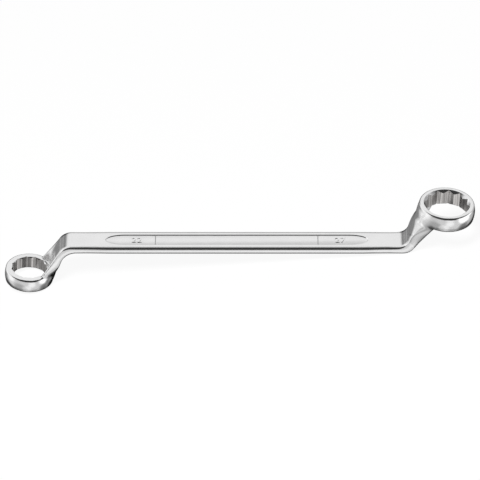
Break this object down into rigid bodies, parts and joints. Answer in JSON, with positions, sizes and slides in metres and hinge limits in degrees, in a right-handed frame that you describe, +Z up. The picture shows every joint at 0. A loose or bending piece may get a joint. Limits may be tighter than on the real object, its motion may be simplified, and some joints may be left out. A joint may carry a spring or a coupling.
{
  "type": "ring spanner",
  "caption": "Double-ended offset ring spanner: a one-piece chrome-plated forging with a bi-hexagon opening in the ring at each end of its flat shank.",
  "frame": {"origin": "on the bench, under the middle of the spanner's outside box as it lies at rest", "axes": "+X along the spanner from the smaller ring to the larger one, +Z up from the bench, +Y across the shank"},
  "size_m": [0.3264, 0.039, 0.0355],
  "materials": {
    "chrome_plate": "polished chrome plating over a forged and ground surface"
  },
  "bodies": {
    "root": {"spanner_forging": "chrome_plate"}
  },
  "joints": []
}
